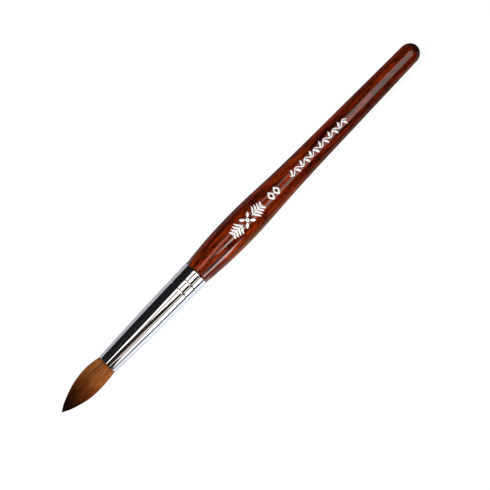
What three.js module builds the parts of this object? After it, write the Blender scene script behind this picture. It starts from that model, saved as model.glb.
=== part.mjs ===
// Acrylic nail brush: a natural-hair brush with a round belly and a fine point, bound and set in a tapered
// metal ferrule that is crimped onto the tenon of a turned, lacquered wooden handle.
//
// Millimetres, +Z up. The brush lies on its side with its axis along X, the hair's point towards -X and the
// handle's tail towards +X. The origin is under the middle of the brush, level with its lowest face.
// A "station" is a distance along the axis, measured from the hair's point towards the tail.

import * as THREE from "three";

// ---------- Driving dimensions ----------

const TOTAL_LENGTH = 175;
const SIDES = 36; // facets round every turned piece

const MOUTH_STATION = 22.9; // where the hair comes out of the ferrule
const FERRULE_LENGTH = 43.9;
const FERRULE_MOUTH_RADIUS = 3.88;
const FERRULE_WAIST_STATION = 44; // where the front taper meets the slighter back one
const FERRULE_WAIST_RADIUS = 4.55;
const FERRULE_BACK_RADIUS = 4.97;
const FERRULE_WALL = 0.26;
const FERRULE_LIP_ROUND = 0.26; // the mouth is rolled inwards, down to the hair
const LIP_BEND = 0.3; // share of the roll at which its section turns from the wall towards the hair
const LIP_EDGE = 0.75; // share of the roll from the wall down to its foremost edge

const CRIMP_STATIONS = [58.4, 62.25];
const CRIMP_HALF_WIDTH = 0.34;
const CRIMP_DEPTH = 0.08;

const HAIR_BELLY_STATION = 15.6;
const HAIR_BELLY_RADIUS = 4.37;
const HAIR_MOUTH_RADIUS = 3.58;
const HAIR_BOUND_STATION = 28;
const HAIR_BOUND_RADIUS = 3.3;
const HAIR_BUTT_STATION = 35;

const THREAD_RADIUS = 0.15;
const THREAD_TURNS = 5;
const THREAD_PITCH = 0.36;
const THREAD_START = 28.6;
const THREAD_CLEARANCE = 0.07; // to the hair that it is wound on
const THREAD_SIDES = 6;
const THREAD_STEPS_PER_TURN = 24;

const RESIN_FRONT = 32;
const RESIN_BACK = 41;
const FIT_GAP = 0.05; // between pieces that are glued, cast or slid together

const TENON_FRONT = 53;
const TENON_CHAMFER = 0.8;
const GLUE_THICKNESS = 0.15;

const SHOULDER_RADIUS = 4.8;
const BELLY_STATION = 87.6;
const BELLY_RADIUS = 5.87;
const TAIL_STATION = 171; // where the rounded end starts
const TAIL_RADIUS = 3.6;

const WOOD = { color: 0x7a2408, roughness: 0.12, metalness: 0 };
const PLATED_METAL = { color: 0xd8dade, roughness: 0.08, metalness: 1 };
const HAIR = { color: 0xa0602e, roughness: 0.55, metalness: 0 };
const THREAD = { color: 0xd9cfb4, roughness: 0.8, metalness: 0 };
const RESIN = { color: 0xb98a3c, roughness: 0.25, metalness: 0 };
const GLUE = { color: 0xe4ddc8, roughness: 0.5, metalness: 0 };

const FERRULE_BACK = MOUTH_STATION + FERRULE_LENGTH;
const FACET_PHASE = Math.PI / SIDES; // turns the prism so that it lies on a facet and not on an edge

// ---------- Helpers ----------

function at(station, radius) {
  return new THREE.Vector2(radius, station);
}

// A turned piece. The outline runs from front to back outside, and ends on the axis or where it began.
function turned(name, outline, finish) {
  const geometry = new THREE.LatheGeometry(outline, SIDES, FACET_PHASE);
  return namedMesh(name, geometry, finish);
}

function namedMesh(name, geometry, finish) {
  const mesh = new THREE.Mesh(geometry, new THREE.MeshStandardMaterial(finish));
  mesh.name = name;
  return mesh;
}

// Points of a smooth curve through a few (station, radius) pairs.
function smooth(pairs, steps) {
  const curve = new THREE.SplineCurve(pairs.map(([station, radius]) => at(station, radius)));
  return curve.getPoints(steps);
}

// How far the crimps press the metal in at a station: each is a round groove that fades out at its edges.
function crimpDepth(station) {
  let depth = 0;
  for (const middle of CRIMP_STATIONS) {
    const offset = Math.abs(station - middle) / CRIMP_HALF_WIDTH;
    if (offset < 1) {
      depth += (CRIMP_DEPTH * (1 + Math.cos(Math.PI * offset))) / 2;
    }
  }
  return depth;
}

// Stations that follow every crimp between two limits.
function crimpStations(from, to) {
  const halfWidths = [-1, -0.5, 0, 0.5, 1];
  const across = (middle) => halfWidths.map((halfWidth) => middle + halfWidth * CRIMP_HALF_WIDTH);
  return [from, ...CRIMP_STATIONS.flatMap(across), to];
}

// The ferrule's outer radius: two straight tapers that meet at its waist, less the crimps.
function ferruleRadius(station) {
  const { mapLinear } = THREE.MathUtils;
  const waist = [FERRULE_WAIST_STATION, FERRULE_WAIST_RADIUS];
  if (station < waist[0]) {
    return mapLinear(station, MOUTH_STATION, waist[0], FERRULE_MOUTH_RADIUS, waist[1]);
  }
  return mapLinear(station, waist[0], FERRULE_BACK, waist[1], FERRULE_BACK_RADIUS) - crimpDepth(station);
}

function boreRadius(station) {
  return ferruleRadius(station) - FERRULE_WALL;
}

function glueRadius(station) {
  return boreRadius(station) - FIT_GAP;
}

function tenonRadius(station) {
  return glueRadius(station) - GLUE_THICKNESS - FIT_GAP;
}

// ---------- Pieces ----------

function makeFerrule() {
  const behindLip = MOUTH_STATION + FERRULE_LIP_ROUND;
  const bend = MOUTH_STATION + LIP_BEND * FERRULE_LIP_ROUND;
  const lipFront = at(MOUTH_STATION, FERRULE_MOUTH_RADIUS - LIP_EDGE * FERRULE_LIP_ROUND);
  const lipOutside = at(bend, FERRULE_MOUTH_RADIUS - LIP_BEND * FERRULE_LIP_ROUND);
  const lipInside = at(bend, FERRULE_MOUTH_RADIUS - FERRULE_LIP_ROUND);
  const stations = [behindLip, ...crimpStations(FERRULE_WAIST_STATION, FERRULE_BACK)];
  const outer = stations.map((station) => at(station, ferruleRadius(station)));
  const inner = stations.map((station) => at(station, boreRadius(station))).reverse();
  return turned("ferrule", [lipFront, lipOutside, ...outer, ...inner, lipInside, lipFront], PLATED_METAL);
}

function makeHairTuft() {
  const exposed = smooth(
    [
      [0, 0],
      [2.7, 1.5],
      [6.5, 2.91],
      [10.5, 3.92],
      [HAIR_BELLY_STATION, HAIR_BELLY_RADIUS],
      [20.2, 4.06],
      [MOUTH_STATION, HAIR_MOUTH_RADIUS],
    ],
    18,
  );
  const root = [
    at(HAIR_BOUND_STATION, HAIR_BOUND_RADIUS),
    at(HAIR_BUTT_STATION, HAIR_BOUND_RADIUS),
    at(HAIR_BUTT_STATION, 0),
  ];
  return turned("hair_tuft", [...exposed, ...root], HAIR);
}

// The thread's middle line: a helix round the hair root, about the Y axis of the brush's own group.
class Winding extends THREE.Curve {
  getPoint(t) {
    const turn = t * THREAD_TURNS;
    const angle = turn * 2 * Math.PI;
    const radius = HAIR_BOUND_RADIUS + THREAD_CLEARANCE + THREAD_RADIUS;
    const station = THREAD_START + turn * THREAD_PITCH;
    return new THREE.Vector3(radius * Math.sin(angle), station, radius * Math.cos(angle));
  }
}

function makeBindingThread() {
  const section = new THREE.Shape();
  for (let side = 0; side < THREAD_SIDES; side += 1) {
    const angle = (side / THREAD_SIDES) * 2 * Math.PI;
    const x = THREAD_RADIUS * Math.cos(angle);
    const y = THREAD_RADIUS * Math.sin(angle);
    if (side === 0) {
      section.moveTo(x, y);
    } else {
      section.lineTo(x, y);
    }
  }
  const geometry = new THREE.ExtrudeGeometry(section, {
    steps: THREAD_TURNS * THREAD_STEPS_PER_TURN,
    extrudePath: new Winding(),
  });
  return namedMesh("binding_thread", geometry, THREAD);
}

// Cured resin: a cup round the hair's butt end, closed behind it.
function makeResinPlug() {
  const cup = HAIR_BUTT_STATION + FIT_GAP;
  const hair = HAIR_BOUND_RADIUS + FIT_GAP;
  const outline = [
    at(cup, 0),
    at(cup, hair),
    at(RESIN_FRONT, hair),
    at(RESIN_FRONT, boreRadius(RESIN_FRONT) - FIT_GAP),
    at(RESIN_BACK, boreRadius(RESIN_BACK) - FIT_GAP),
    at(RESIN_BACK, 0),
  ];
  return turned("resin_plug", outline, RESIN);
}

// Adhesive that fills the space between the tenon and the ferrule, crimps included.
function makeTenonGlue() {
  const stations = crimpStations(TENON_FRONT + TENON_CHAMFER, FERRULE_BACK - FIT_GAP);
  const outer = stations.map((station) => at(station, glueRadius(station)));
  const inner = stations.map((station) => at(station, glueRadius(station) - GLUE_THICKNESS)).reverse();
  return turned("tenon_glue", [...outer, ...inner, outer[0]], GLUE);
}

function makeHandle() {
  const shoulder = FERRULE_BACK + FIT_GAP;
  const chamfer = TENON_FRONT + TENON_CHAMFER;
  const tenon = crimpStations(chamfer, shoulder).map((station) => at(station, tenonRadius(station)));
  const grip = smooth(
    [
      [shoulder, SHOULDER_RADIUS],
      [72.5, 5.27],
      [78.5, 5.69],
      [BELLY_STATION, BELLY_RADIUS],
      [95.5, 5.7],
      [104, 5.24],
      [112, 4.85],
      [125, 4.47],
      [140, 4.19],
      [155, 3.9],
      [TAIL_STATION, TAIL_RADIUS],
    ],
    30,
  );
  const dome = [];
  const domeSteps = 7;
  for (let step = 1; step <= domeSteps; step += 1) {
    const angle = (step / domeSteps) * (Math.PI / 2);
    const radius = step === domeSteps ? 0 : TAIL_RADIUS * Math.cos(angle);
    dome.push(at(TAIL_STATION + (TOTAL_LENGTH - TAIL_STATION) * Math.sin(angle), radius));
  }
  const front = [at(TENON_FRONT, 0), at(TENON_FRONT, tenonRadius(chamfer) - TENON_CHAMFER)];
  return turned("handle", [...front, ...tenon, ...grip, ...dome], WOOD);
}

// ---------- Assembly ----------

const brush = new THREE.Group();
brush.name = "acrylic_nail_brush";
brush.add(makeHandle(), makeFerrule(), makeHairTuft(), makeBindingThread(), makeResinPlug(), makeTenonGlue());
brush.rotation.z = -Math.PI / 2; // the turning axis, +Y, becomes +X
brush.position.set(-TOTAL_LENGTH / 2, 0, BELLY_RADIUS * Math.cos(FACET_PHASE));

const part = new THREE.Group();
part.add(brush);

export default part;
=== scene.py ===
# The looks of the acrylic nail brush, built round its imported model.
# Metres, in the model's own frame: the brush lies along X, with the hair's point at -X and the handle's tail
# at +X, and +Z is up.

import math

import bpy
import numpy as np
from mathutils import Matrix, Vector


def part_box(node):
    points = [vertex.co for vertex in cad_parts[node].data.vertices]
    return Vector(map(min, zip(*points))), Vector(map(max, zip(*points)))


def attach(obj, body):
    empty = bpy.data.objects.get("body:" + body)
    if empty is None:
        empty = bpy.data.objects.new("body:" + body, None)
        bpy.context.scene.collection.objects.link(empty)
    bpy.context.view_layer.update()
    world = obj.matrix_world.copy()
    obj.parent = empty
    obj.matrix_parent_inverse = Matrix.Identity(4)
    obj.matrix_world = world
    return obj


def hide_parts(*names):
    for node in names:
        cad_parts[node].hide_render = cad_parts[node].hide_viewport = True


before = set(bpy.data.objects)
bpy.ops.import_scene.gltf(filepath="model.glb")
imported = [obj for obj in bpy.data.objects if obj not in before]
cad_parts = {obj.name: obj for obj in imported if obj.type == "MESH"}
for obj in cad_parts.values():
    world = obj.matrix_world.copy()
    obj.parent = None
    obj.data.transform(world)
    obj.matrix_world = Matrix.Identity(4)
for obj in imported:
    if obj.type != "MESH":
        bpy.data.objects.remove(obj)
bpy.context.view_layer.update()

BODY = "root"
MM = 0.001
DEGREE = math.pi / 180

# ---------- Places taken from the frame ----------

HANDLE_LOW, HANDLE_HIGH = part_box("handle")
FERRULE_LOW, FERRULE_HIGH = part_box("ferrule")
HAIR_LOW, HAIR_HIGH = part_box("hair_tuft")
AXIS_Z = (HANDLE_LOW.z + HANDLE_HIGH.z) / 2
POINT_X = HAIR_LOW.x
MOUTH_X = FERRULE_LOW.x
JOINT_X = FERRULE_HIGH.x
BUTT_X = HAIR_HIGH.x
TAIL_X = HANDLE_HIGH.x

# ---------- Sizes of the fine detail ----------

TURNED_SIDES = 144
TAIL_ROUND = 4.0 * MM
SHOULDER_ROUND = 0.14 * MM
WAIST_BLEND = 1.2 * MM

HAIRS_PER_LAYER = 1250
HAIR_DEPTHS = [(0.955, 1.0), (0.915, 0.985), (0.86, 0.96)]  # of each layer, as shares of the tuft's radius
HAIR_STATIONS = 24
HAIR_SIDES = 3
HAIR_CLUMPS = 34
HAIR_RADIUS = 0.052 * MM
HAIR_ROOT_DEPTH = 5.0 * MM  # how far the hair is modelled inside the ferrule
CORE_START = 0.35 * MM  # how far behind the tuft's point its packed middle starts

# How far the tuft leans sideways, in mm, at distances behind the point: it has a slight bend from use.
LEAN = [(0.0, -0.24), (5.0, -0.12), (10.0, 0.0), (14.0, 0.11), (18.0, 0.19), (21.0, 0.12), (23.0, 0.04),
        (28.0, 0.0)]

INK_HEIGHT = 0.035 * MM
INK_DEPTH = 0.05 * MM

BAKE_UV = "OFBake"

# ---------- Sizes of the stage ----------

FLOOR_HALF = 6.0
FLOOR_DROP = 0.00006  # the floor's clearance below the brush
TUBE_SIDES = 96
TENT_RADIUS = 0.40
TENT_SPAN = (-0.8, 1.0)
FLOOR_GLOW_RADIUS = 0.022
FLOOR_GLOW_SPAN = (-0.12, 0.12)
AROUND_END = 400.0  # an angle beyond the whole turn, for bands that run on to the underside

VIEW_WIDTH = 167.87 * MM
VIEW_CENTRE = Vector((-2.5 * MM, -5.29 * MM, AXIS_Z))
VIEW_TURN = -45.8 * DEGREE
LENS, SENSOR = 135, 36


# ---------- Outlines ----------

def rings(node):
    """The stations of a node's rings of points, front to back, with the outer and inner radius of each."""
    points = np.array([vertex.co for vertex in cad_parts[node].data.vertices])
    stations = np.round(points[:, 0], 7)
    radii = np.hypot(points[:, 1], points[:, 2] - AXIS_Z)
    found = np.unique(stations)
    outer = np.array([radii[stations == station].max() for station in found])
    inner = np.array([radii[stations == station].min() for station in found])
    return found, outer, inner


def smooth_through(x, y):
    """A smooth function through points, with the slope at each from its neighbours."""
    slopes = np.gradient(y, x)

    def value(at):
        i = np.clip(np.searchsorted(x, at) - 1, 0, len(x) - 2)
        width = x[i + 1] - x[i]
        t = np.clip((at - x[i]) / width, 0, 1)
        start = y[i] * (1 + 2 * t) * (1 - t) ** 2 + slopes[i] * width * t * (1 - t) ** 2
        end = y[i + 1] * t * t * (3 - 2 * t) + slopes[i + 1] * width * t * t * (t - 1)
        return start + end

    return value


def handle_outline():
    """The handle's visible outline as a function, and the tenon's points in front of it."""
    stations, radii, _ = rings("handle")
    shoulder = stations[stations > JOINT_X][0]
    on_grip = (stations >= shoulder) & (stations <= TAIL_X - TAIL_ROUND + 1e-6)
    tenon = list(zip(stations[stations < shoulder], radii[stations < shoulder]))
    return shoulder, smooth_through(stations[on_grip], radii[on_grip]), tenon


SHOULDER_X, grip_radius, TENON = handle_outline()


def hair_outline():
    stations, radii, _ = rings("hair_tuft")
    outside = stations <= MOUTH_X + 1e-6
    return smooth_through(stations[outside], radii[outside])


tuft_radius = hair_outline()


def ferrule_outline():
    """The ferrule's outer radius as a function, with its crimps, its wall's thickness and its lip's size."""
    stations, radii, inner = rings("ferrule")
    lip, waist, back = (stations[2], radii[2]), (stations[3], radii[3]), (stations[-1], radii[-1])
    lows = [i for i in range(4, len(stations) - 2) if radii[i] < radii[i - 1] and radii[i] < radii[i + 1]]
    crimps = []
    for low in lows:
        depth = (radii[low - 2] + radii[low + 2]) / 2 - radii[low]
        crimps.append((stations[low], (stations[low + 2] - stations[low - 2]) / 2, depth))
    front_slope = (waist[1] - lip[1]) / (waist[0] - lip[0])
    back_slope = (back[1] - waist[1]) / (back[0] - waist[0])

    def value(at):
        past = at - waist[0]
        mean = (front_slope + back_slope) / 2 * past
        bend = (back_slope - front_slope) / 2 * (np.hypot(past, WAIST_BLEND) - WAIST_BLEND)
        radius = waist[1] + mean + bend
        for middle, half_width, depth in crimps:
            offset = np.minimum(np.abs(at - middle) / half_width, 1)
            radius = radius - depth * (1 + np.cos(np.pi * offset)) / 2
        return radius

    return value, radii[-1] - inner[-1], lip[0] - MOUTH_X, crimps


ferrule_radius, FERRULE_WALL, LIP_ROUND, CRIMPS = ferrule_outline()


# ---------- Meshes ----------

def mesh_object(name, points, faces, uvs, material):
    """A smooth-shaded mesh. uvs holds one (u, v) for each corner of each face, in order."""
    mesh = bpy.data.meshes.new(name)
    mesh.from_pydata(points, [], faces)
    layer = mesh.uv_layers.new(name=BAKE_UV)
    layer.data.foreach_set("uv", np.asarray(uvs, np.float32).ravel())
    mesh.polygons.foreach_set("use_smooth", np.ones(len(mesh.polygons), bool))
    mesh.materials.append(material)
    mesh.validate()
    made = bpy.data.objects.new(name, mesh)
    bpy.context.scene.collection.objects.link(made)
    return made


def turned(name, outline, material, sides=TURNED_SIDES, closed=False):
    """A body of revolution about the brush's axis. The outline is (station, radius) from front to back.
    An open outline starts and ends on the axis. A closed one joins its end to its start."""
    outline = np.asarray(outline, float)
    steps = np.hypot(*np.diff(outline, axis=0).T)
    along = np.concatenate([[0], np.cumsum(steps)]) / steps.sum()
    angles = 2 * np.pi * np.arange(sides) / sides
    rows = outline if closed else outline[1:-1]
    points = [
        (x, radius * math.sin(angle), AXIS_Z + radius * math.cos(angle))
        for x, radius in (rows[:-1] if closed else rows)
        for angle in angles
    ]
    ring_count = len(points) // sides
    faces, uvs = [], []
    spans = ring_count if closed else ring_count - 1
    for i in range(spans):
        after = (i + 1) % ring_count
        low, high = (along[i], along[i + 1]) if closed else (along[i + 1], along[i + 2])
        for j in range(sides):
            k = (j + 1) % sides
            faces.append((i * sides + j, i * sides + k, after * sides + k, after * sides + j))
            left, right = j / sides, (j + 1) / sides
            uvs += [(left, low), (right, low), (right, high), (left, high)]
    if not closed:
        front, back = len(points), len(points) + 1
        points += [(outline[0][0], 0, AXIS_Z), (outline[-1][0], 0, AXIS_Z)]
        last = (ring_count - 1) * sides
        for j in range(sides):
            k = (j + 1) % sides
            left, right = j / sides, (j + 1) / sides
            faces.append((front, k, j))
            uvs += [((left + right) / 2, 0), (right, along[1]), (left, along[1])]
            faces.append((back, last + j, last + k))
            uvs += [((left + right) / 2, 1), (left, along[-2]), (right, along[-2])]
    return mesh_object(name, points, faces, uvs, material)


def quarter_round(x, radius, size, steps=5):
    """Points that round the front edge of a shoulder at station x."""
    turns = np.linspace(0, np.pi / 2, steps)
    return [(x + size * (1 - math.sin(a)), radius - size * (1 - math.cos(np.pi / 2 - a))) for a in turns]


# ---------- Materials ----------

class Material:
    """A node material under construction, with one Principled shader."""

    def __init__(self, name, **shader_values):
        self.made = bpy.data.materials.new(name)
        self.made.use_nodes = True
        self.tree = self.made.node_tree
        self.shader = self.tree.nodes["Principled BSDF"]
        for socket, value in shader_values.items():
            self.shader.inputs[socket.replace("_", " ")].default_value = value

    def put(self, target, value):
        if isinstance(value, bpy.types.NodeSocket):
            self.tree.links.new(value, target)
        else:
            target.default_value = value

    def add(self, kind, inputs=None, **settings):
        node = self.tree.nodes.new("ShaderNode" + kind)
        for key, value in settings.items():
            setattr(node, key, value)
        for key, value in (inputs or {}).items():
            self.put(node.inputs[key], value)
        return node

    def maths(self, operation, a, b=0.0, clamp=False):
        return self.add("Math", {0: a, 1: b}, operation=operation, use_clamp=clamp).outputs[0]

    def remap(self, value, low, high, to_low=0.0, to_high=1.0, smooth=False):
        kind = "SMOOTHSTEP" if smooth else "LINEAR"
        inputs = {"Value": value, "From Min": low, "From Max": high, "To Min": to_low, "To Max": to_high}
        return self.add("MapRange", inputs, interpolation_type=kind).outputs[0]

    def noise(self, vector, scale, detail=3.0, roughness=0.5, distortion=0.0):
        inputs = {"Vector": vector, "Scale": scale, "Detail": detail, "Roughness": roughness,
                  "Distortion": distortion}
        return self.add("TexNoise", inputs).outputs["Fac"]

    def stretched(self, vector, scale, offset=(0, 0, 0)):
        return self.add("Mapping", {"Vector": vector, "Scale": scale, "Location": offset}).outputs[0]

    def blend(self, share, a, b, kind="MIX"):
        node = self.add("Mix", data_type="RGBA", blend_type=kind)
        for socket, value in zip((node.inputs[0], node.inputs[6], node.inputs[7]), (share, a, b)):
            self.put(socket, value)
        return node.outputs[2]

    def ramp(self, share, stops):
        node = self.add("ValToRGB", {"Fac": share})
        elements = node.color_ramp.elements
        while len(elements) < len(stops):
            elements.new(0.5)
        for element, (place, colour) in zip(elements, stops):
            element.position = place
            element.color = (*colour, 1)
        return node.outputs["Color"]

    def bump(self, height, strength, distance):
        inputs = {"Height": height, "Strength": strength, "Distance": distance}
        return self.add("Bump", inputs).outputs[0]

    def place(self):
        """Object coordinates, in metres from the brush's axis."""
        place = self.add("TexCoord").outputs["Object"]
        return self.add("Mapping", {"Vector": place, "Location": (0, 0, -AXIS_Z)}).outputs[0]

    def feed(self, socket, value):
        self.put(self.shader.inputs[socket], value)


def lacquered_wood():
    """Red-brown hardwood with long dark pores under a clear gloss lacquer."""
    m = Material("lacquered_wood", Metallic=0.3, Roughness=0.4, Specular_IOR_Level=0.0, Coat_Weight=1.0,
                 Coat_Roughness=0.02, Coat_IOR=1.5)
    place = m.place()
    swirl = m.add("TexNoise", {"Vector": m.stretched(place, (60, 60, 60)), "Scale": 1.0, "Detail": 2.0})
    sway = m.add("VectorMath", {0: swirl.outputs["Color"], "Scale": 0.0012}, operation="SCALE").outputs[0]
    bent = m.add("VectorMath", {0: place, 1: sway}, operation="ADD").outputs[0]
    figure = m.noise(m.stretched(bent, (48, 520, 520), (7.3, 1.6, 2.7)), 1.0, 5.0, 0.62, 0.6)
    body = m.ramp(figure, [(0.34, (0.055, 0.0044, 0.0004)), (0.45, (0.120, 0.0100, 0.0006)),
                           (0.54, (0.230, 0.0205, 0.0008)), (0.66, (0.370, 0.0370, 0.0012))])
    fibre = m.noise(m.stretched(bent, (90, 1500, 1500)), 1.0, 3.0, 0.6)
    fibre_tint = m.ramp(fibre, [(0.36, (0.45, 0.40, 0.36)), (0.60, (1.22, 1.2, 1.15))])
    body = m.blend(0.6, body, fibre_tint, "MULTIPLY")
    pores = m.noise(m.stretched(bent, (230, 1500, 1500), (0.3, 0.1, 0.2)), 1.0, 3.0, 0.55, 0.4)
    flecks = m.noise(m.stretched(bent, (420, 2400, 2400), (0.1, 0.5, 0.4)), 1.0, 2.0, 0.5, 0.3)
    pore_share = m.remap(pores, 0.55, 0.64, smooth=True)
    fleck_share = m.maths("MULTIPLY", m.remap(flecks, 0.56, 0.66, smooth=True), 0.7)
    dark_share = m.maths("MAXIMUM", m.maths("MULTIPLY", pore_share, 0.85), fleck_share)
    body = m.blend(dark_share, body, (0.012, 0.0022, 0.0010, 1))
    spot = m.add("SeparateXYZ", {0: place}).outputs
    # Painted shade: the wood is darkened on its -Y side towards the tail, where less light falls.
    tail_side_shade = m.remap(spot[1], 0.5 * MM, -3.0 * MM, smooth=True)
    tail_shade_along = m.remap(spot[0], 0.010, 0.040, smooth=True)
    tail_shade_share = m.maths("MULTIPLY", m.maths("MULTIPLY", tail_side_shade, tail_shade_along), 0.8)
    body = m.blend(tail_shade_share, body, (0.64, 0.56, 0.56, 1), "MULTIPLY")
    # Painted shade: the colour darkens to near black over the tail's rounded end, which faces away from the
    # light.
    tail_end_shade = m.remap(spot[0], TAIL_X - 3.0 * MM, TAIL_X - 1.4 * MM, smooth=True)
    body = m.blend(m.maths("MULTIPLY", tail_end_shade, 0.9), body, (0.035, 0.0045, 0.0020, 1))
    m.feed("Base Color", body)
    m.feed("Roughness", m.remap(fibre, 0.3, 0.7, 0.34, 0.46))
    m.feed("Normal", m.bump(m.maths("SUBTRACT", fibre, pore_share), 0.2, 0.00003))
    ripple = m.noise(m.stretched(place, (90, 240, 240)), 1.0, 2.0, 0.5)
    m.feed("Coat Normal", m.bump(ripple, 0.05, 0.00005))
    return m.made


def plated_metal():
    """Bright plated metal, drawn along its length, with faint polish lines and finger haze."""
    m = Material("plated_metal", Base_Color=(0.80, 0.80, 0.815, 1), Metallic=1.0, Roughness=0.035)
    place = m.place()
    drawn = m.noise(m.stretched(place, (9, 2600, 2600)), 1.0, 3.0, 0.6)
    haze = m.noise(m.stretched(place, (120, 260, 260)), 1.0, 4.0, 0.6)
    m.feed("Base Color", m.ramp(haze, [(0.30, (0.765, 0.765, 0.785)), (0.65, (0.815, 0.815, 0.825))]))
    hazy = m.remap(haze, 0.35, 0.75, 0.022, 0.05)
    m.feed("Roughness", m.maths("ADD", hazy, m.remap(drawn, 0.3, 0.7, 0, 0.015)))
    m.feed("Normal", m.bump(drawn, 0.012, 0.00002))
    return m.made


def natural_hair(name, shade):
    """Hair coloured by its UV map: u runs round the tuft and v from the point to the ferrule's mouth."""
    m = Material(name, Roughness=0.45, Specular_IOR_Level=0.12)
    spot = m.add("SeparateXYZ", {0: m.add("UVMap", uv_map=BAKE_UV).outputs[0]}).outputs
    around, along = spot[0], spot[1]
    wave = m.noise(m.add("CombineXYZ", {0: m.maths("MULTIPLY", around, 9.0), 1: 0.0}).outputs[0], 1.0, 2.0)
    shifted = m.maths("ADD", along, m.remap(wave, 0.3, 0.7, -0.06, 0.06))
    body = m.ramp(shifted, [(0.00, (0.012, 0.0045, 0.0018)), (0.20, (0.019, 0.0056, 0.0015)),
                            (0.32, (0.042, 0.0105, 0.0012)), (0.44, (0.095, 0.0200, 0.0026)),
                            (0.58, (0.158, 0.0410, 0.0052)), (0.72, (0.270, 0.0885, 0.0180)),
                            (1.00, (0.315, 0.1080, 0.0250))])
    clump = m.add("CombineXYZ", {0: m.maths("MULTIPLY", around, 95.0), 1: m.maths("MULTIPLY", along, 1.6)})
    clumps = m.noise(clump.outputs[0], 1.0, 2.0, 0.6)
    strand = m.add("CombineXYZ", {0: m.maths("MULTIPLY", around, 620.0), 1: m.maths("MULTIPLY", along, 2.5)})
    strands = m.noise(strand.outputs[0], 1.0, 1.0, 0.5)
    clump_tint = m.ramp(clumps, [(0.32, (0.42, 0.36, 0.28)), (0.62, (1.45, 1.45, 1.50))])
    body = m.blend(0.75, body, clump_tint, "MULTIPLY")
    strand_tint = m.ramp(strands, [(0.30, (0.55, 0.50, 0.42)), (0.65, (1.35, 1.35, 1.4))])
    body = m.blend(0.8, body, strand_tint, "MULTIPLY")
    # Painted shade: shade scales the whole colour, and the hair darkens to half of that just in front of the
    # ferrule's mouth.
    mouth_painted_shade = m.remap(along, 0.962, 0.990, shade, 0.5 * shade)
    body = m.blend(1.0, body, mouth_painted_shade, "MULTIPLY")
    m.feed("Base Color", body)
    m.feed("Roughness", m.remap(strands, 0.3, 0.7, 0.40, 0.52))
    return m.made


def white_ink():
    """Screen-printed white ink, slightly uneven."""
    m = Material("white_ink", Roughness=0.45, Specular_IOR_Level=0.4)
    place = m.place()
    grain = m.noise(m.stretched(place, (2500, 2500, 2500)), 1.0, 3.0)
    m.feed("Base Color", m.ramp(grain, [(0.3, (0.88, 0.87, 0.86)), (0.6, (0.95, 0.95, 0.94))]))
    m.feed("Roughness", m.remap(grain, 0.3, 0.7, 0.38, 0.55))
    m.feed("Normal", m.bump(grain, 0.2, 0.00002))
    return m.made


def wound_thread():
    """Waxed twisted thread."""
    m = Material("wound_thread", Roughness=0.7, Sheen_Weight=0.3)
    place = m.place()
    inputs = {"Vector": m.stretched(place, (3000, 3000, 3000)), "Scale": 1.0, "Distortion": 1.5}
    twist = m.add("TexWave", inputs, bands_direction="DIAGONAL").outputs["Fac"]
    m.feed("Base Color", m.ramp(twist, [(0.1, (0.50, 0.43, 0.30)), (0.8, (0.78, 0.72, 0.58))]))
    m.feed("Roughness", m.remap(twist, 0, 1, 0.62, 0.8))
    m.feed("Normal", m.bump(twist, 0.5, 0.00003))
    return m.made


def cast_resin(name, dark, light, roughness):
    """Cured resin or adhesive with small trapped bubbles."""
    m = Material(name, Roughness=roughness, Specular_IOR_Level=0.5)
    place = m.place()
    cloud = m.noise(m.stretched(place, (500, 500, 500)), 1.0, 3.0)
    bubbles = m.add("TexVoronoi", {"Vector": m.stretched(place, (1800, 1800, 1800)), "Scale": 1.0}).outputs[0]
    m.feed("Base Color", m.ramp(cloud, [(0.3, dark), (0.7, light)]))
    m.feed("Roughness", m.remap(cloud, 0.3, 0.7, roughness - 0.08, roughness + 0.12))
    m.feed("Normal", m.bump(bubbles, 0.25, 0.00004))
    return m.made


# ---------- Pieces ----------

def finish_piece(piece, node=None):
    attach(piece, BODY)
    if node:
        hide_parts(node)
    return piece


def make_handle():
    shoulder_radius = float(grip_radius(SHOULDER_X))
    dome_x = TAIL_X - TAIL_ROUND
    grip = np.linspace(SHOULDER_X + SHOULDER_ROUND, dome_x, 260)
    turns = np.linspace(0, np.pi / 2, 28)[1:]
    dome_radius = float(grip_radius(dome_x))
    outline = [(TENON[0][0], 0), *TENON, (SHOULDER_X, TENON[-1][1])]
    outline += [(SHOULDER_X, shoulder_radius - 2 * SHOULDER_ROUND)]
    outline += quarter_round(SHOULDER_X, shoulder_radius, SHOULDER_ROUND)[::-1][:-1]
    outline += list(zip(grip, grip_radius(grip)))
    outline += [(dome_x + TAIL_ROUND * math.sin(a), dome_radius * math.cos(a)) for a in turns[:-1]]
    outline.append((TAIL_X, 0))
    return finish_piece(turned("turned_handle", outline, lacquered_wood()), "handle")


def make_ferrule():
    behind_lip = MOUTH_X + LIP_ROUND
    stations = [np.linspace(behind_lip, JOINT_X, 150)]
    for middle, half_width, _ in CRIMPS:
        stations.append(np.linspace(middle - 1.1 * half_width, middle + 1.1 * half_width, 33))
    stations = np.unique(np.concatenate(stations))
    outer = list(zip(stations, ferrule_radius(stations)))
    inner = [(x, radius - FERRULE_WALL) for x, radius in outer][::-1]
    lip_radius = float(ferrule_radius(behind_lip))
    opening = lip_radius - LIP_ROUND
    turns = np.linspace(0, np.pi / 2, 12)
    edge = 0.25  # height of the lip's foremost edge above the opening, as a share of the roll
    rolled = [(behind_lip - LIP_ROUND * math.cos(a), opening + LIP_ROUND * (edge + (1 - edge) * math.sin(a)))
              for a in turns]
    bead = [(MOUTH_X + 0.3 * LIP_ROUND * math.sin(a), opening + edge * LIP_ROUND * math.cos(a))
            for a in turns[::-1]]
    outline = [*outer, *inner, *bead[:-1], *rolled]
    piece = turned("plated_ferrule", outline, plated_metal(), closed=True)
    return finish_piece(piece, "ferrule")


lean_behind_point = smooth_through(*np.array(LEAN).T)


def point_shift(x):
    return lean_behind_point((x - POINT_X) / MM) * MM


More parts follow.
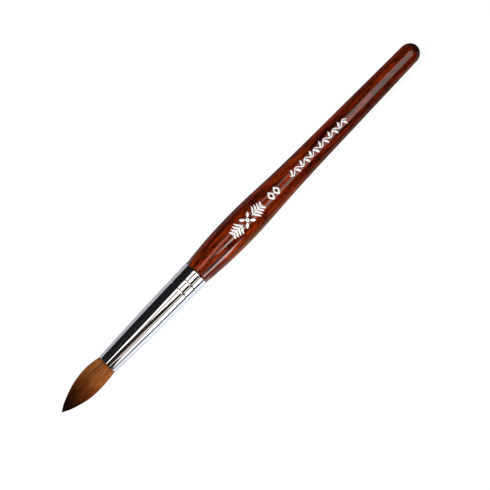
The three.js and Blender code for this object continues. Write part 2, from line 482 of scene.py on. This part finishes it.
def bundle_radius(x):
    """The hair bundle's outer radius, inside the ferrule too, where it narrows to its binding."""
    bound_radius = 0.93 * float(tuft_radius(MOUTH_X))
    inside = np.clip((x - MOUTH_X) / HAIR_ROOT_DEPTH, 0, 1)
    outside = tuft_radius(np.minimum(x, MOUTH_X))
    return np.where(x > MOUTH_X, outside + (bound_radius - outside) * inside, outside)


def make_hair_core(material):
    """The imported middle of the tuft, from just behind the point to the butt end."""
    front = POINT_X + CORE_START
    shares = np.linspace(0, 1, 80)[1:] ** 1.4
    stations = np.concatenate([[front], front + (MOUTH_X + HAIR_ROOT_DEPTH - front) * shares, [BUTT_X]])
    radii = 0.9 * bundle_radius(stations)
    radii = radii * np.sqrt(np.clip((stations - front) / (0.9 * MM), 0, 1))
    outline = [*zip(stations, radii), (BUTT_X, 0)]
    outline[0] = (front, 0)
    piece = turned("hair_core", outline, material, sides=64)
    mesh = piece.data
    for vertex in mesh.vertices:
        vertex.co.y += float(point_shift(vertex.co.x))
    for loop in mesh.loops:
        place = mesh.vertices[loop.vertex_index].co
        share = (place.x - POINT_X) / (MOUTH_X - POINT_X)
        spot = mesh.uv_layers[BAKE_UV].data[loop.index]
        spot.uv = (spot.uv[0], min(max(share, 0), 1))
    return finish_piece(piece)


def make_hair_layer(name, depth_low, depth_high, seed, material):
    """Single hairs, each a thin tapered prism from inside the ferrule to its own tip near the point."""
    random = np.random.default_rng(seed)
    count = HAIRS_PER_LAYER
    around = (np.arange(count) + random.uniform(-0.5, 0.5, count)) / count
    depth = random.uniform(depth_low, depth_high, count)
    tips = POINT_X + np.abs(random.normal(0, 1.5, count)) * MM + 3.5 * MM * (1 - depth) * random.random(count)
    short = random.random(count) < 0.10
    tips = tips + short * random.uniform(1.0, 7.0, count) * MM
    root = MOUTH_X + HAIR_ROOT_DEPTH * random.uniform(0.6, 1.0, count)
    share = np.linspace(0, 1, HAIR_STATIONS)[None, :] ** 0.9
    x = tips[:, None] + (root - tips)[:, None] * share
    wander = random.normal(0, 0.035, (count, 2))
    swing = wander[:, :1] * np.sin(math.pi * share) + wander[:, 1:] * np.sin(2 * math.pi * share)
    clump = (np.floor(around * HAIR_CLUMPS) + 0.5) / HAIR_CLUMPS
    gather = 2 * np.pi * (clump - around)[:, None] * 0.6 * (1 - share) ** 1.3
    lift = 1 + random.normal(0, 0.005, count)[:, None] * np.sin(math.pi * share)
    angle = 2 * np.pi * around[:, None] + swing + gather
    radius = bundle_radius(x) * depth[:, None] * lift
    width = HAIR_RADIUS * random.uniform(0.75, 1.15, count)[:, None] * np.clip(share * 3.2, 0.10, 1) ** 0.7
    radius = np.maximum(radius - width, 0)
    centre = np.stack([x, radius * np.sin(angle) + point_shift(x), AXIS_Z + radius * np.cos(angle)], axis=-1)
    outward = np.stack([np.zeros_like(angle), np.sin(angle), np.cos(angle)], axis=-1)
    sideways = np.stack([np.zeros_like(angle), np.cos(angle), -np.sin(angle)], axis=-1)
    turns = 2 * np.pi * np.arange(HAIR_SIDES) / HAIR_SIDES
    section = [outward * math.cos(t) + sideways * math.sin(t) for t in turns]
    points = np.stack([centre + width[..., None] * side for side in section], axis=2)

    block = HAIR_STATIONS * HAIR_SIDES
    faces, corners = [], []
    for i in range(HAIR_STATIONS - 1):
        for j in range(HAIR_SIDES):
            k = (j + 1) % HAIR_SIDES
            low, high = i * HAIR_SIDES, (i + 1) * HAIR_SIDES
            faces.append((low + j, high + j, high + k, low + k))
    caps = [tuple(range(HAIR_SIDES)), tuple(range(block - 1, block - 1 - HAIR_SIDES, -1))]
    one_hair = faces + caps
    all_faces = [tuple(hair * block + corner for corner in face)
                 for hair in range(count) for face in one_hair]
    v = np.clip((x - POINT_X) / (MOUTH_X - POINT_X), 0, 1)
    for hair in range(count):
        u = around[hair] % 1
        for face in one_hair:
            corners += [(u, v[hair, corner // HAIR_SIDES]) for corner in face]
    piece = mesh_object(name, points.reshape(-1, 3).tolist(), all_faces, corners, material)
    return finish_piece(piece, "hair_tuft")


def make_hair():
    outer_shade = natural_hair("natural_hair", 1.0)
    # Painted shade: the tuft's packed middle, seen between the hairs, is coloured at 0.6 of the outer hair.
    make_hair_core(natural_hair("natural_hair_core", 0.6))
    for layer, (low, high) in enumerate(HAIR_DEPTHS):
        make_hair_layer(f"hair_layer_{layer + 1}", low, high, 11 + layer, outer_shade)


def finish_inner_nodes():
    """Better materials on the CAD pieces inside the ferrule."""
    finishes = {
        "binding_thread": wound_thread(),
        "resin_plug": cast_resin("set_resin", (0.30, 0.15, 0.04), (0.52, 0.31, 0.10), 0.22),
        "tenon_glue": cast_resin("set_adhesive", (0.62, 0.56, 0.42), (0.80, 0.76, 0.64), 0.45),
    }
    for node, material in finishes.items():
        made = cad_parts[node]
        made.data.materials.clear()
        made.data.materials.append(material)


# ---------- Printed ornament ----------

class Print:
    """Raised strokes of ink on the handle, in millimetres: along from the shoulder, around from the top."""

    def __init__(self, name):
        self.name = name
        self.points, self.faces = [], []

    def on_handle(self, along, around, height):
        x = SHOULDER_X + along * MM
        surface = float(grip_radius(x))
        angle = -around * MM / surface
        radius = surface + height
        return (x, radius * math.sin(angle), AXIS_Z + radius * math.cos(angle))

    def stroke(self, centres, half_widths, closed=False):
        """A ribbon of ink along a line of (along, around) points."""
        centres = np.asarray(centres, float)
        if closed:
            ahead, behind = np.roll(centres, -1, axis=0), np.roll(centres, 1, axis=0)
            tangents = ahead - behind
        else:
            tangents = np.gradient(centres, axis=0)
        tangents /= np.linalg.norm(tangents, axis=1)[:, None]
        across = np.stack([-tangents[:, 1], tangents[:, 0]], axis=1)
        profile = [(-1, -INK_DEPTH), (-1, 0.55 * INK_HEIGHT), (-0.5, INK_HEIGHT), (0.5, INK_HEIGHT),
                   (1, 0.55 * INK_HEIGHT), (1, -INK_DEPTH)]
        size, start = len(profile), len(self.points)
        for centre, side, half_width in zip(centres, across, half_widths):
            for share, height in profile:
                along, around = centre + side * half_width * share
                self.points.append(self.on_handle(along, around, height))
        spans = len(centres) if closed else len(centres) - 1
        for i in range(spans):
            this, after = start + i * size, start + (i + 1) % len(centres) * size
            for j in range(size):
                k = (j + 1) % size
                self.faces.append((this + j, after + j, after + k, this + k))
        if not closed:
            self.faces.append(tuple(start + j for j in range(size)))
            last = start + (len(centres) - 1) * size
            self.faces.append(tuple(last + j for j in reversed(range(size))))

    def leaf(self, along, around, length, half_width, degrees, bow=0.0, steps=11):
        """A pointed leaf that starts at (along, around) and runs at an angle to the brush's axis."""
        t = np.linspace(0, 1, steps)
        turn = degrees * DEGREE
        ahead, aside = length * t, bow * np.sin(math.pi * t)
        centres = np.stack([along + ahead * math.cos(turn) - aside * math.sin(turn),
                            around + ahead * math.sin(turn) + aside * math.cos(turn)], axis=1)
        self.stroke(centres, 0.03 + half_width * np.sin(math.pi * t) ** 0.8)

    def ring(self, along, around, radius, half_width, steps=28):
        turns = 2 * math.pi * np.arange(steps) / steps
        centres = np.stack([along + radius * np.cos(turns), around + radius * np.sin(turns)], axis=1)
        self.stroke(centres, np.full(steps, half_width), closed=True)

    def finish(self, material):
        uvs = [((p[0] - SHOULDER_X) / (TAIL_X - SHOULDER_X), 0.5 + p[1] / (20 * MM))
               for face in self.faces for p in (self.points[i] for i in face)]
        return finish_piece(mesh_object(self.name, self.points, self.faces, uvs, material))


def make_emblem(ink):
    """A small flower between two sprigs."""
    emblem = Print("print_emblem")
    middle = 24.8
    emblem.ring(middle, 0, 0.42, 0.24)
    for degrees in (45, 135, 225, 315):
        turn = degrees * DEGREE
        emblem.leaf(middle + 0.8 * math.cos(turn), 0.8 * math.sin(turn), 2.2, 0.46, degrees)
    for side in (1, -1):
        heading = 0 if side == 1 else 180
        emblem.leaf(middle + side * 1.9, 0, 5.7, 0.22, heading)
        for pair in range(4):
            start = middle + side * (2.6 + 1.2 * pair)
            length = 3.0 - 0.36 * pair
            for lean in (1, -1):
                tilt = lean * 56 if side == 1 else 180 - lean * 56
                emblem.leaf(start, 0.1 * lean, length, 0.33, tilt, bow=-0.25 * lean * side)
    emblem.finish(ink)


def make_lozenges(ink):
    lozenges = Print("print_lozenges")
    half_length, half_height, per_side = 0.95, 1.4, 6
    corners = np.array([(half_length, 0), (0, half_height), (-half_length, 0), (0, -half_height)])
    steps = np.arange(per_side)[:, None] / per_side
    sides = [start + (stop - start) * steps for start, stop in zip(corners, np.roll(corners, -1, axis=0))]
    outline = np.concatenate(sides)
    for along in (36.3, 38.9):
        lozenges.stroke(outline + (along, 0), np.full(len(outline), 0.3), closed=True)
    lozenges.finish(ink)


def make_border(ink):
    """A waving stem with a leaf in each of its hollows."""
    border = Print("print_border")
    first, half_wave, waves, swing = 45.6, 2.28, 12, 0.72
    along = np.linspace(0, half_wave * waves, 20 * waves + 1)
    around = swing * np.sin(math.pi * along / half_wave)
    border.stroke(np.stack([first + along, around], axis=1), np.full(len(along), 0.2))
    for wave in range(waves):
        crest = first + (wave + 0.5) * half_wave
        up = 1 if wave % 2 == 0 else -1
        border.leaf(crest - 0.62, 0.4 * up, 2.2, 0.40, -62 * up, bow=0.3 * up)
    border.finish(ink)


def make_prints():
    ink = white_ink()
    make_emblem(ink)
    make_lozenges(ink)
    make_border(ink)


# ---------- Stage ----------

def make_floor():
    """A wide lit table of pale opal plastic, so that shadows on it are faint."""
    half = FLOOR_HALF
    mesh = bpy.data.meshes.new("floor")
    corners = [(-half, -half, 0), (half, -half, 0), (half, half, 0), (-half, half, 0)]
    mesh.from_pydata(corners, [], [(0, 1, 2, 3)])
    floor = bpy.data.objects.new("floor", mesh)
    floor.location.z = -FLOOR_DROP
    m = Material("floor", Base_Color=(0.15, 0.15, 0.15, 1), Roughness=0.9, Specular_IOR_Level=0.0,
                 Emission_Color=(1, 1, 1, 1), Emission_Strength=0.90)
    mesh.materials.append(m.made)
    bpy.context.scene.collection.objects.link(floor)
    floor.visible_glossy = False


class LightTube(Material):
    """A tube round the brush that only reflections see, with bands of light painted on its inside.
    Angles are degrees from straight up, positive towards -Y, and x is along the brush."""

    def __init__(self, name, radius, span):
        super().__init__(name)
        sides = TUBE_SIDES
        turns = [2 * math.pi * i / sides for i in range(sides)]
        points = [(x, radius * math.sin(t), radius * math.cos(t)) for x in span for t in turns]
        faces = [(i, (i + 1) % sides, sides + (i + 1) % sides, sides + i) for i in range(sides)]
        mesh = bpy.data.meshes.new(name)
        mesh.from_pydata(points, [], faces)
        mesh.materials.append(self.made)
        tube = bpy.data.objects.new(name, mesh)
        tube.location.z = AXIS_Z
        bpy.context.scene.collection.objects.link(tube)
        for ray in ("camera", "diffuse", "transmission", "volume_scatter", "shadow"):
            setattr(tube, "visible_" + ray, False)
        spot = self.add("SeparateXYZ", {0: self.add("TexCoord").outputs["Object"]}).outputs
        self.x = spot[0]
        turn = self.maths("ARCTAN2", self.maths("MULTIPLY", spot[1], -1.0), spot[2])
        self.angle = self.maths("DIVIDE", turn, DEGREE)

    def path(self, *knots, along=None):
        """A value that runs straight from knot to knot and stays level beyond the ends."""
        value = knots[0][1]
        for (start, low), (stop, high) in zip(knots, knots[1:]):
            if high != low:
                rise = self.remap(self.x if along is None else along, start, stop, 0.0, high - low)
                value = self.maths("ADD", value, rise)
        return value

    def step(self, value, soft):
        return self.remap(value, -soft, soft, smooth=True)

    def band(self, low, high, soft, light):
        """Light between two angles, each of which may vary along the brush."""
        rise = self.step(self.maths("SUBTRACT", self.angle, low), soft)
        fall = self.step(self.maths("SUBTRACT", high, self.angle), soft)
        return self.maths("MULTIPLY", self.maths("MULTIPLY", rise, fall), light)

    def total(self, *parts):
        value = parts[0]
        for part in parts[1:]:
            value = self.maths("ADD", value, part)
        return value

    def shine(self, tints, clear_share=None):
        """Shines with tinted lights. Rays pass through where there is a clear share."""
        colour = None
        for tint, light in tints:
            shares = {i: self.maths("MULTIPLY", light, tint[i]) for i in range(3)}
            tinted = self.add("CombineColor", shares).outputs[0]
            colour = tinted if colour is None else self.blend(1.0, colour, tinted, "ADD")
        result = self.add("Emission", {"Color": colour, "Strength": 1.0}).outputs[0]
        if clear_share is not None:
            clear = self.add("BsdfTransparent").outputs[0]
            result = self.add("MixShader", {0: clear_share, 1: result, 2: clear}).outputs[0]
        self.tree.nodes.remove(self.shader)
        self.tree.links.new(result, self.tree.nodes["Material Output"].inputs["Surface"])


def make_tent():
    """Soft boxes, cards and gaps above and beside the brush. Knots are (x, degrees) or (x, light)."""
    m = LightTube("tent", TENT_RADIUS, TENT_SPAN)
    path, band = m.path, m.band

    # The long soft box above.
    box_low = path((-0.128, -13.5), (-0.115, -16.5), (-0.098, -18), (-0.084, -18.5), (-0.058, -25.3),
                   (0.005, -28), (0.071, -26), (0.111, -18), (0.160, -18), (0.340, -7), (0.440, 4))
    box_high = path((-0.128, -7.5), (-0.118, -6), (-0.110, 0), (-0.098, 4.5), (-0.081, 8), (-0.0745, 11.5),
                    (-0.065, 19.5), (-0.018, 23), (0.005, 28), (0.071, 34), (0.120, 38), (0.160, 36),
                    (0.340, 23), (0.440, 12))
    box_light = path((-0.160, 0), (-0.140, 2.0), (-0.128, 2.2), (-0.118, 1.7), (-0.105, 1.35), (-0.085, 1.6),
                     (0.080, 1.7), (0.110, 2.3), (0.420, 2.3), (0.480, 0))
    box = band(box_low, box_high, 2.0, box_light)

    # The gap along its middle, in which a little warm light shows.
    gap_low = path((-0.105, -1), (-0.092, -6), (-0.018, -11), (0.071, -13))
    gap_high = path((-0.105, 9), (-0.092, 9), (-0.081, 3), (-0.058, 4), (-0.018, 8), (0.005, 10), (0.071, 12))
    gap_depth = path((-0.120, 0), (-0.105, 0.55), (-0.092, 0.77), (-0.075, 0.80), (-0.058, 0.95),
                     (-0.018, 0.99), (0.075, 0.99), (0.098, 0))
    gap = band(gap_low, gap_high, 1.5, gap_depth)
    warm_line = band(gap_low, gap_high, 1.5, path((-0.105, 0), (-0.092, 0.22), (-0.050, 0.26), (-0.040, 0)))
    lit_box = m.maths("MULTIPLY", box, m.maths("SUBTRACT", 1.0, gap))

    # The box's bright half.
    bright_low = path((-0.070, 5), (0.005, 11))
    bright_high = path((-0.080, 8), (-0.0745, 11), (-0.065, 18), (-0.018, 22), (0.005, 27), (0.071, 34))
    bright_light = path((-0.088, 0), (-0.070, 1.4), (-0.043, 3.2), (-0.018, 7.0), (0.005, 4.6), (0.023, 2.6),
                        (0.071, 0.8), (0.10, 0))
    bright = band(bright_low, bright_high, 1.5, bright_light)

    # The soft box at the side.
    side_low = path((-0.1238, 88), (-0.1230, 66), (-0.1220, 59.5), (-0.1205, 57), (-0.118, 54.5),
                    (-0.110, 55), (-0.095, 56.5), (-0.085, 58.5))
    side_high = path((-0.128, 75), (-0.105, 75.5), (-0.060, 75.5), (-0.030, 75), (-0.018, 66))
    side_light = path((-0.140, 0.2), (-0.128, 1.4), (-0.118, 1.4), (-0.110, 1.5), (-0.100, 1.5),
                      (-0.088, 6.0), (-0.060, 8.0), (-0.030, 9.0), (-0.016, 4.5), (-0.002, 0))
    side = band(side_low, side_high, 1.5, side_light)

    # The pale card between the two boxes.
    card_low = path((-0.128, 27.5), (-0.122, 29.5), (-0.110, 31), (-0.100, 32), (-0.085, 33.5), (-0.060, 37))
    card_high = path((-0.1275, 34), (-0.1250, 35.5), (-0.1235, 37), (-0.1210, 41), (-0.118, 52),
                     (-0.1165, 56))
    card_light = path((-0.150, 0.1), (-0.128, 0.76), (-0.122, 0.76), (-0.115, 0.70), (-0.075, 0.68),
                      (-0.060, 0.76), (-0.040, 0.50), (-0.025, 0))
    card_fade = path((41, 1.0), (45, 0.84), along=m.angle)
    card = band(card_low, card_high, 1.5, m.maths("MULTIPLY", card_light, card_fade))

    # Faint light in the dark stretches between them.
    warm_gap = band(19.0, 31.0, 4.0, path((-0.128, 0.05), (-0.115, 0.08), (-0.100, 0.04), (-0.090, 0)))
    dim_left = band(-53.0, -38.0, 4.0, path((-0.100, 0.010), (-0.070, 0)))
    dim_right = band(76.0, 92.0, 1.5, 0.04)
    dim_all_round = 0.014

    neutral = m.total(lit_box, side, dim_left, dim_right, dim_all_round)
    m.shine([((1, 1, 1), neutral), ((1.0, 0.92, 0.82), bright), ((1.0, 0.90, 0.83), card),
             ((1.0, 0.62, 0.45), warm_gap), ((1.0, 0.50, 0.20), warm_line)])


def make_floor_glow():
    """The lit table as reflections see it from close by, on either side."""
    m = LightTube("floor_glow", FLOOR_GLOW_RADIUS, FLOOR_GLOW_SPAN)
    path, band = m.path, m.band
    mouth, joint = MOUTH_X, JOINT_X
    right_low = path((mouth, 81), (mouth + 0.008, 83), (mouth + 0.020, 85.5), (joint, 87))
    right_light = path((mouth - 0.003, 0.92), (mouth + 0.010, 1.12), (joint - 0.0005, 1.12),
                       (joint + 0.0005, 0.42), (joint + 0.006, 0.42), (joint + 0.018, 0.16))
    right_fade = path((112, 1.04), (120, 0.93), (130, 0.76), along=m.angle)
    right = band(right_low, AROUND_END, 2.0, m.maths("MULTIPLY", right_light, right_fade))
    warm_light = path((joint + 0.006, 0), (joint + 0.018, 0.32), (joint + 0.028, 0.30), (joint + 0.038, 0.15),
                      (joint + 0.060, 0.12))
    warm = band(95.0, 148.0, 8.0, warm_light)
    left_high, left_soft = -91.0, 2.5
    left_light = path((joint - 0.0005, 0.55), (joint + 0.001, 0.26), (joint + 0.006, 0.17),
                      (joint + 0.020, 0.17), (joint + 0.045, 0.12), (joint + 0.090, 0.08))
    left = band(-AROUND_END, left_high, left_soft, left_light)
    solid = m.total(m.step(m.maths("SUBTRACT", m.angle, right_low), 2.0),
                    m.step(m.maths("SUBTRACT", left_high, m.angle), left_soft))
    clear_share = m.maths("SUBTRACT", 1.0, solid, clamp=True)
    m.shine([((0.94, 0.97, 1.04), m.total(left, right)), ((1.3, 1.0, 0.3), warm)], clear_share)


def make_world():
    """Plain surroundings: pale to the camera, dim to reflections, and fainter towards +X as fill light."""
    world = bpy.data.worlds.new("studio")
    bpy.context.scene.world = world
    world.use_nodes = True
    tree = world.node_tree
    background = tree.nodes["Background"]
    path = tree.nodes.new("ShaderNodeLightPath")
    mixes = []
    for value in ("Is Camera Ray", "Is Glossy Ray"):
        mix = tree.nodes.new("ShaderNodeMix")
        mix.data_type = "RGBA"
        tree.links.new(path.outputs[value], mix.inputs[0])
        mixes.append(mix)
    heading = tree.nodes.new("ShaderNodeSeparateXYZ")
    coordinates = tree.nodes.new("ShaderNodeTexCoord")
    tree.links.new(coordinates.outputs["Generated"], heading.inputs[0])
    fill = tree.nodes.new("ShaderNodeMapRange")
    tree.links.new(heading.outputs[0], fill.inputs["Value"])
    for socket, value in (("From Min", 0.0), ("From Max", 0.8), ("To Min", 0.35), ("To Max", 0.06)):
        fill.inputs[socket].default_value = value
    tree.links.new(fill.outputs[0], mixes[0].inputs[6])
    mixes[0].inputs[7].default_value = (0.9, 0.9, 0.9, 1)
    tree.links.new(mixes[0].outputs[2], mixes[1].inputs[6])
    mixes[1].inputs[7].default_value = (0.02, 0.02, 0.02, 1)
    tree.links.new(mixes[1].outputs[2], background.inputs["Color"])


def make_soft_box(name, centre, target, width, height, power):
    """A rectangle of soft light that reflections don't see: the tent stands in for it there."""
    data = bpy.data.lights.new(name, "AREA")
    data.shape = "RECTANGLE"
    data.size, data.size_y = width, height
    data.energy = power
    box = bpy.data.objects.new(name, data)
    aim = Vector(target) - Vector(centre)
    box.location = centre
    box.rotation_euler = aim.to_track_quat("-Z", "Y").to_euler()
    box.visible_glossy = False
    bpy.context.scene.collection.objects.link(box)


def make_soft_boxes():
    above = (-0.08, 0.09, AXIS_Z + 0.36)
    make_soft_box("box_above", above, (-0.05, 0, AXIS_Z), 0.30, 0.30, 1.05)
    lean, reach = 70 * DEGREE, 0.12
    beside = (-0.055, -reach * math.sin(lean), AXIS_Z + reach * math.cos(lean))
    make_soft_box("box_side", beside, (-0.045, 0, AXIS_Z), 0.05, 0.05, 0.15)


def make_camera():
    """Straight down on the brush, turned so that it runs from lower left to upper right."""
    data = bpy.data.cameras.new("camera")
    data.lens, data.sensor_width = LENS, SENSOR
    distance = VIEW_WIDTH * LENS / SENSOR
    camera = bpy.data.objects.new("camera", data)
    camera.location = VIEW_CENTRE + Vector((0, 0, distance))
    camera.rotation_euler = (0, 0, VIEW_TURN)
    data.clip_start, data.clip_end = 0.01, 50
    bpy.context.scene.collection.objects.link(camera)
    bpy.context.scene.camera = camera


# ---------- The scene ----------

make_handle()
make_ferrule()
make_hair()
make_prints()
finish_inner_nodes()
make_floor()
make_tent()
make_floor_glow()
make_world()
make_soft_boxes()
make_camera()
bpy.context.scene.view_settings.view_transform = "Standard"

bpy.context.view_layer.update()
